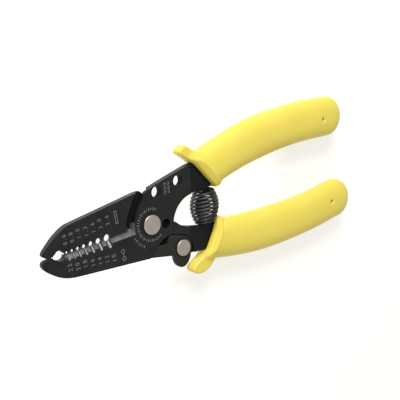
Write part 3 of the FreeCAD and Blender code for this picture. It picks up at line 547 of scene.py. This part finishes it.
def spline(points, per, closed):
    """Catmull-Rom curve with per points to each span."""
    pts = np.array(points, float)
    if closed:
        padded = np.vstack((pts[-1:], pts, pts[:2]))
    else:
        padded = np.vstack((2 * pts[0] - pts[1], pts, 2 * pts[-1] - pts[-2]))
    curve = []
    for p0, p1, p2, p3 in zip(padded, padded[1:], padded[2:], padded[3:]):
        for j in range(per):
            t = j / per
            curve.append(0.5 * ((2 * p1) + (p2 - p0) * t + (2 * p0 - 5 * p1 + 4 * p2 - p3) * t * t
                                + (3 * p1 - p0 - 3 * p2 + p3) * t ** 3))
    if not closed:
        curve.append(pts[-1])
    return np.array(curve)


def line_distance(x, y, points):
    """Distance from an open polyline."""
    best = np.full(x.shape, 1e9)
    for (ax, ay), (bx, by) in zip(points, points[1:]):
        ex, ey = bx - ax, by - ay
        t = np.clip(((x - ax) * ex + (y - ay) * ey) / (ex * ex + ey * ey + 1e-12), 0, 1)
        dx, dy = x - (ax + t * ex), y - (ay + t * ey)
        best = np.minimum(best, dx * dx + dy * dy)
    return np.sqrt(best)


def polygon_distance(x, y, points):
    """Signed distance from a polygon, negative inside."""
    closed = np.vstack((points[-1:], points))
    inside = np.zeros(x.shape, bool)
    for (ax, ay), (bx, by) in zip(closed, closed[1:]):
        if ay != by:
            crosses = (ay > y) != (by > y)
            inside ^= crosses & (x < (bx - ax) * (y - ay) / (by - ay) + ax)
    distance = line_distance(x, y, closed)
    return np.where(inside, -distance, distance)


def smooth_min(a, b, k):
    h = np.clip(0.5 + 0.5 * (b - a) / k, 0, 1)
    return b * (1 - h) + a * h - k * h * (1 - h)


def smooth_max(a, b, k):
    return -smooth_min(-a, -b, k)


def rounded_slab(plan, z, half, edge):
    """Plan distance carried to a half thickness, with rounded edges."""
    out, rise = plan + edge, np.abs(z) - half + edge
    return (np.sqrt(np.maximum(out, 0) ** 2 + np.maximum(rise, 0) ** 2)
            + np.minimum(np.maximum(out, rise), 0) - edge)


def surface_nets(field, origin, step):
    """Mesh of the zero level of a grid field: one vertex per crossed cell."""
    nx, ny, nz = field.shape
    inside = field < 0
    total = np.zeros((nx - 1, ny - 1, nz - 1, 3), np.float32)
    crossings = np.zeros((nx - 1, ny - 1, nz - 1), np.float32)

    def at_corner(corner):
        i, j, k = corner
        return field[i:nx - 1 + i, j:ny - 1 + j, k:nz - 1 + k]

    for corner in np.ndindex(2, 2, 2):
        for axis in range(3):
            if corner[axis]:
                continue
            other = list(corner)
            other[axis] = 1
            near, far = at_corner(corner), at_corner(other)
            cut = (near < 0) != (far < 0)
            with np.errstate(divide="ignore", invalid="ignore"):
                t = np.where(cut, near / (near - far), 0.0)
            for d in range(3):
                offset = corner[d] + (t if d == axis else 0.0)
                total[..., d] += np.where(cut, offset, 0.0)
            crossings += cut
    used = crossings > 0
    cells = np.argwhere(used)
    ids = np.full(used.shape, -1, np.int64)
    ids[used] = np.arange(len(cells))
    verts = (total[used] / crossings[used][:, None] + cells) * step + np.array(origin)

    # one quad round each grid edge that crosses the surface
    faces = []
    for axis in range(3):
        low, high = [slice(None)] * 3, [slice(None)] * 3
        low[axis] = slice(0, -1)
        high[axis] = slice(1, None)
        starts_inside = inside[tuple(low)]
        edges = np.argwhere(starts_inside != inside[tuple(high)])
        u, v = (axis + 1) % 3, (axis + 2) % 3
        edges = edges[(edges[:, u] > 0) & (edges[:, v] > 0)
                      & (edges[:, u] < field.shape[u] - 1) & (edges[:, v] < field.shape[v] - 1)]
        corners = []
        for back_u, back_v in ((0, 0), (1, 0), (1, 1), (0, 1)):
            cell = edges.copy()
            cell[:, u] -= back_u
            cell[:, v] -= back_v
            corners.append(ids[tuple(cell.T)])
        quads = np.stack(corners, 1)
        flip = ~starts_inside[tuple(edges.T)]
        quads[flip] = quads[flip][:, ::-1]
        faces.append(quads)
    return verts, np.concatenate(faces)


def relax(verts, faces, rounds, pull=0.5):
    """A little Laplacian smoothing that gives back what it shrinks."""
    count = len(verts)
    edges = np.concatenate([faces[:, [k, (k + 1) % 4]] for k in range(4)])
    edges = np.concatenate([edges, edges[:, ::-1]])
    degree = np.bincount(edges[:, 0], minlength=count).astype(float)[:, None]
    for _ in range(rounds):
        for weight in (pull, -pull * 1.04):
            total = np.zeros_like(verts)
            for d in range(3):
                total[:, d] = np.bincount(edges[:, 0], weights=verts[edges[:, 1], d],
                                          minlength=count)
            verts = verts + weight * (total / degree - verts)
    return verts


def sleeve_frame(x, y, bend):
    """Grid points seen from the nearest point of the centre line: distance
    ahead of its end, distance across, half width and half thickness."""
    rows = [list(row) for row in CENTRE]
    for row, (shift_y, shift_width) in zip(rows, bend):
        row[1] += shift_y
        row[2] += shift_width
    line = spline(rows, per=40, closed=False)
    best = np.full(x.shape, 1e9)
    pick = np.zeros(x.shape, int)
    for i, row in enumerate(line):
        distance = (x - row[0]) ** 2 + (y - row[1]) ** 2
        better = distance < best
        best = np.where(better, distance, best)
        pick = np.where(better, i, pick)
    along = np.gradient(line[:, :2], axis=0)
    along /= np.linalg.norm(along, axis=1)[:, None]
    dx, dy = x - line[pick, 0], y - line[pick, 1]
    along_x, along_y = along[pick, 0], along[pick, 1]
    ahead = dx * along_x + dy * along_y
    across = -dx * along_y + dy * along_x
    ahead = np.where(pick == len(line) - 1, np.maximum(ahead, 0), 0.0)
    return ahead, across, line[pick, 2], line[pick, 3]


def grip_field(step, stop, heel, bend):
    xs = np.arange(14.5, 121.6, step)
    ys = np.arange(3.6, 33.4, step)
    zs = np.arange(-7.2, 7.2 + step * 0.5, step)
    x, y = np.meshgrid(xs, ys, indexing="ij")
    z = zs[None, None, :]
    ahead, across, half_width, half_thick = sleeve_frame(x, y, bend)

    def skin(width, thick):
        u = np.abs(across / width)[..., None]
        v = np.abs(z) / thick[..., None]
        t = (ahead / END_REACH)[..., None]
        flat = np.maximum((u ** 2 + t ** 2), 1e-9) ** 0.5
        norm = np.maximum(flat ** SECTION_POWER + v ** SECTION_POWER, 1e-9)
        norm = norm ** (1.0 / SECTION_POWER)
        return (norm - 1.0) * np.minimum(width, thick)[..., None] * 0.9

    # the sleeve starts inside the collar
    start, end = np.array(SLEEVE_START)
    cut_x, cut_y = (end - start) / np.linalg.norm(end - start)
    cut = (x - start[0]) * -cut_y + (y - start[1]) * cut_x
    sleeve = np.maximum(skin(half_width, half_thick), cut[..., None])

    # band: proud of the sleeve, sloping down to a wall on the jaw side
    wall_points = [list(point) for point in COLLAR_WALL]
    for k, (heel_x, heel_y) in heel.items():
        wall_points[k] = [heel_x, heel_y + 0.1]
    wall_curve = spline(wall_points, per=10, closed=True)
    from_wall = line_distance(x, y, wall_curve[:85])    # jaw side of the curve only
    wall = polygon_distance(x, y, wall_curve)
    band = skin(half_width + 0.55, half_thick + 0.30)
    slope = (np.abs(z) - (3.75 + 0.66 * from_wall)[..., None]) * 0.83
    band = smooth_max(band, slope, k=0.35)
    band = smooth_max(band, wall[..., None], k=0.5)
    band = smooth_max(band, (from_wall - 3.05)[..., None], k=0.25)

    # flat flange that carries the thumb stop and the heel
    outline = [list(point) for point in COLLAR_FULL]
    for k, (heel_x, heel_y) in heel.items():
        outline[k] = [heel_x, heel_y]
    for point, (shift_x, shift_y) in zip(outline[STOP_FIRST:], stop):
        point[0] += shift_x
        point[1] += shift_y
    plan = polygon_distance(x, y, spline(outline, per=10, closed=True))[..., None]
    flange = rounded_slab(plan, z, half=2.75, edge=0.7)
    field = smooth_min(sleeve, band, k=0.22)
    field = smooth_min(field, flange, k=1.5)

    # mouth round the tang, with its floor at x = 40
    mouth = polygon_distance(x, y, np.array(TANG))[..., None] - 0.15
    mouth = np.maximum(mouth, np.abs(z) - 1.35)
    mouth = np.maximum(mouth, (x - 40.0)[..., None])
    field = smooth_max(field, -mouth, k=0.35)

    # dimpled vent near the end, open on the +z face only
    vent_x, vent_y = x - VENT[0], y - VENT[1]
    hole = np.maximum(np.hypot(vent_x, vent_y)[..., None] - 0.72, 1.0 - z)
    dimple = np.sqrt(vent_x[..., None] ** 2 + vent_y[..., None] ** 2 + (z - 8.05) ** 2) - 3.05
    field = smooth_max(field, -dimple, k=0.5)
    field = smooth_max(field, -hole, k=0.25)
    return field.astype(np.float32), (xs[0], ys[0], zs[0])


def grip(side, sign, stop, heel, bend):
    step = 0.33
    field, origin = grip_field(step, stop, heel, bend)
    verts, faces = surface_nets(field, origin, step)
    verts = relax(verts, faces, rounds=3)
    verts[:, 1] *= sign
    verts[:, 0] += PIVOT_X
    verts /= 1000.0
    if sign < 0:
        faces = faces[:, ::-1]
    obj = new_mesh(side + "_grip_sleeve", verts, faces, mat_vinyl)
    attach(obj, side + "_handle")
    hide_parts(side + "_grip")


grip("upper", sign=1, stop=STOP_UPPER, heel={}, bend=BEND_UPPER)
grip("lower", sign=-1, stop=STOP_LOWER, heel=HEEL_LOWER, bend=BEND_LOWER)


# ---------------------------------------------------------------------------
# Etched wire scales: numbers only, and plain ticks
# ---------------------------------------------------------------------------

MARK_Z = 1.612
# text, x, y
LOWER_NUMBERS = (("22", -38.4, -4.7), ("20", -35.3, -5.3), ("18", -32.1, -5.4),
                 ("16", -28.9, -6.1), ("14", -25.7, -6.5), ("12", -22.6, -6.9),
                 ("10", -19.5, -7.5))
UPPER_NUMBERS = (("0.6", -38.4, 6.3), ("0.8", -35.5, 6.3), ("1.0", -32.4, 6.7),
                 ("1.3", -29.2, 6.6), ("1.6", -26.0, 7.0), ("2.0", -22.8, 7.6),
                 ("2.6", -19.4, 7.9))


def flat_text(text, x, y, size):
    """Text that reads towards +y."""
    curve = bpy.data.curves.new("tmp_text", "FONT")
    curve.body = text
    curve.size = size / 1000.0
    curve.align_x = "CENTER"
    curve.align_y = "CENTER"
    curve.space_character = 1.5
    curve.resolution_u = 4
    curve.offset = -0.000012
    obj = bpy.data.objects.new("tmp_text", curve)
    bpy.context.scene.collection.objects.link(obj)
    bpy.context.view_layer.update()
    depsgraph = bpy.context.evaluated_depsgraph_get()
    mesh = bpy.data.meshes.new_from_object(obj.evaluated_get(depsgraph))
    mesh.transform(Matrix.Translation(place(x, y, MARK_Z)) @ Matrix.Rotation(math.pi / 2, 4, "Z"))
    verts = [v.co.copy() for v in mesh.vertices]
    faces = [list(p.vertices) for p in mesh.polygons]
    bpy.data.objects.remove(obj)
    bpy.data.curves.remove(curve)
    bpy.data.meshes.remove(mesh)
    return verts, faces


def bar(x, y, length, width, turn=0.0):
    c, s = math.cos(turn), math.sin(turn)
    verts = []
    for a, b in ((-1, -1), (1, -1), (1, 1), (-1, 1)):
        u, v = a * length / 2, b * width / 2
        verts.append(place(x + u * c - v * s, y + u * s + v * c, MARK_Z))
    return verts, [[0, 1, 2, 3]]


def ring(x, y, radius, width, count=24):
    verts = []
    for i in range(count + 1):
        angle = 2 * math.pi * i / count
        for r in (radius - width / 2, radius + width / 2):
            verts.append(place(x + r * math.cos(angle), y + r * math.sin(angle), MARK_Z))
    return verts, [[2 * i, 2 * i + 1, 2 * i + 3, 2 * i + 2] for i in range(count)]


def arc_ticks(count, radius, start, pitch, short, long, width):
    """Radial ticks about the pivot, in turn short and long. Angles in degrees."""
    ticks = []
    for i in range(count):
        angle = math.radians(start + i * pitch)
        ticks.append(bar(radius * math.cos(angle), radius * math.sin(angle),
                         long if i % 2 else short, width, angle))
    return ticks


def loop_hole_ticks():
    """Two rows of ticks between the loop holes."""
    ticks = []
    for row, (x, y) in enumerate(((9.0, 10.3), (10.9, 10.6))):
        for i in range(6):
            length = 1.15 if (i + row) % 2 else 0.75
            ticks.append(bar(x + 0.12 * i, y + 0.85 * i, length, width=0.32, turn=0.12))
    return ticks


def ring_sign(x=-15.2, y=-7.75, reach=1.5):
    """Two rings joined by a bar, at the end of the lower scale."""
    return [ring(x, y - reach, radius=0.75, width=0.26),
            ring(x, y + reach, radius=0.75, width=0.26),
            bar(x, y, length=0.26, width=1.16)]


def box_sign(x=-15.45, y=7.9, reach_x=0.45, reach_y=2.45, line=0.24):
    """Narrow open box, at the end of the upper scale."""
    return [bar(x - reach_x, y, line, 4.6), bar(x + reach_x, y, line, 4.6),
            bar(x, y - reach_y, 1.3, line), bar(x, y + reach_y, 1.3, line)]


def marking(name, parts, body):
    verts, faces = [], []
    for part_verts, part_faces in parts:
        base = len(verts)
        verts += part_verts
        faces += [[base + i for i in face] for face in part_faces]
    obj = new_mesh(name, verts, faces, mat_mark, smooth=False)
    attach(obj, body)


# the blades cross at the pivot, so each jaw rides on the opposite handle
lower_marks = [flat_text(*number, size=2.5) for number in LOWER_NUMBERS] + ring_sign()
upper_marks = [flat_text(*number, size=2.35) for number in UPPER_NUMBERS] + box_sign()
# round the pivot rivet, then on the -x, -y side of the boss
lower_marks += arc_ticks(26, radius=6.5, start=62.0, pitch=9.6, short=0.8, long=1.25, width=0.34)
lower_marks += arc_ticks(6, radius=9.3, start=200.0, pitch=7.2, short=0.7, long=1.1, width=0.32)
lower_marks += loop_hole_ticks()
marking("scale_lower_jaw", lower_marks, "upper_handle")
marking("scale_upper_jaw", upper_marks, "lower_handle")


# ---------------------------------------------------------------------------
# Stage: pale floor, soft light, camera
# ---------------------------------------------------------------------------

def build_floor(half=1.6):
    corners = ((-half, -half), (half, -half), (half, half), (-half, half))
    floor = new_mesh("stage_floor", [(x, y, FLOOR_Z / 1000) for x, y in corners],
                     [(0, 1, 2, 3)], mat_floor, smooth=False)


def build_world(light=0.66, seen=1.0):
    """White world, dimmer as a light than as the camera sees it."""
    world = bpy.data.worlds.new("studio")
    bpy.context.scene.world = world
    world.use_nodes = True
    tree = world.node_tree
    tree.nodes.clear()
    output = tree.nodes.new("ShaderNodeOutputWorld")
    backgrounds = []
    for strength in (light, seen):
        background = tree.nodes.new("ShaderNodeBackground")
        background.inputs[0].default_value = (1.0, 1.0, 1.0, 1.0)
        background.inputs[1].default_value = strength
        backgrounds.append(background)
    rays = tree.nodes.new("ShaderNodeLightPath")
    mix = tree.nodes.new("ShaderNodeMixShader")
    tree.links.new(rays.outputs["Is Camera Ray"], mix.inputs[0])
    tree.links.new(backgrounds[0].outputs[0], mix.inputs[1])
    tree.links.new(backgrounds[1].outputs[0], mix.inputs[2])
    tree.links.new(mix.outputs[0], output.inputs[0])


def area(name, location, size_x, size_y, watts):
    """Rectangular light aimed at the frame's origin."""
    data = bpy.data.lights.new(name, "AREA")
    data.shape = "RECTANGLE"
    data.size = size_x
    data.size_y = size_y
    data.energy = watts
    obj = bpy.data.objects.new(name, data)
    bpy.context.scene.collection.objects.link(obj)
    obj.rotation_euler = (-Vector(location)).to_track_quat("-Z", "Y").to_euler()
    obj.location = location


def build_camera():
    """Camera set by where it sees the crown of the pivot rivet, and how the
    tool is turned there. Vectors are in camera axes: x right, y up, z back."""
    rivet_seen = Vector((-18.792, -10.02, -280.0))      # mm
    tilt = math.radians(36.4)       # of the tool's z axis off the line of sight
    twist = math.radians(13.4)      # direction of that tilt, clockwise from right
    turn = math.radians(28.5)       # of the tool about its own z axis
    sight = rivet_seen.normalized()
    lean = Vector((math.cos(twist), -math.sin(twist), 0.0))
    lean = (lean - sight * lean.dot(sight)).normalized()
    tool_z = -sight * math.cos(tilt) + lean * math.sin(tilt)
    flat_x = lean * math.cos(tilt) + sight * math.sin(tilt)
    flat_y = tool_z.cross(flat_x)
    tool_x = flat_x * math.cos(turn) + flat_y * math.sin(turn)
    tool_y = -flat_x * math.sin(turn) + flat_y * math.cos(turn)
    rotation = Matrix((tool_x, tool_y, tool_z))

    data = bpy.data.cameras.new("photo_view")
    data.lens = 63.0
    data.sensor_width = 36.0
    data.sensor_fit = "HORIZONTAL"
    data.clip_start = 0.01
    data.clip_end = 20.0
    obj = bpy.data.objects.new("photo_view", data)
    bpy.context.scene.collection.objects.link(obj)
    pose = rotation.to_4x4()
    pose.translation = place(*(Vector((0.0, 0.0, HEAD_TOP)) - rotation @ rivet_seen))
    obj.matrix_world = pose
    bpy.context.scene.camera = obj


build_floor()
build_world()
area("key_soft", location=(-0.16, 0.60, 0.36), size_x=0.45, size_y=0.30, watts=6.6)
area("fill_soft", location=(-0.45, -0.35, 0.5), size_x=0.6, size_y=0.6, watts=0.8)
build_camera()
bpy.context.scene.view_settings.view_transform = "Standard"
bpy.context.scene.view_settings.look = "None"
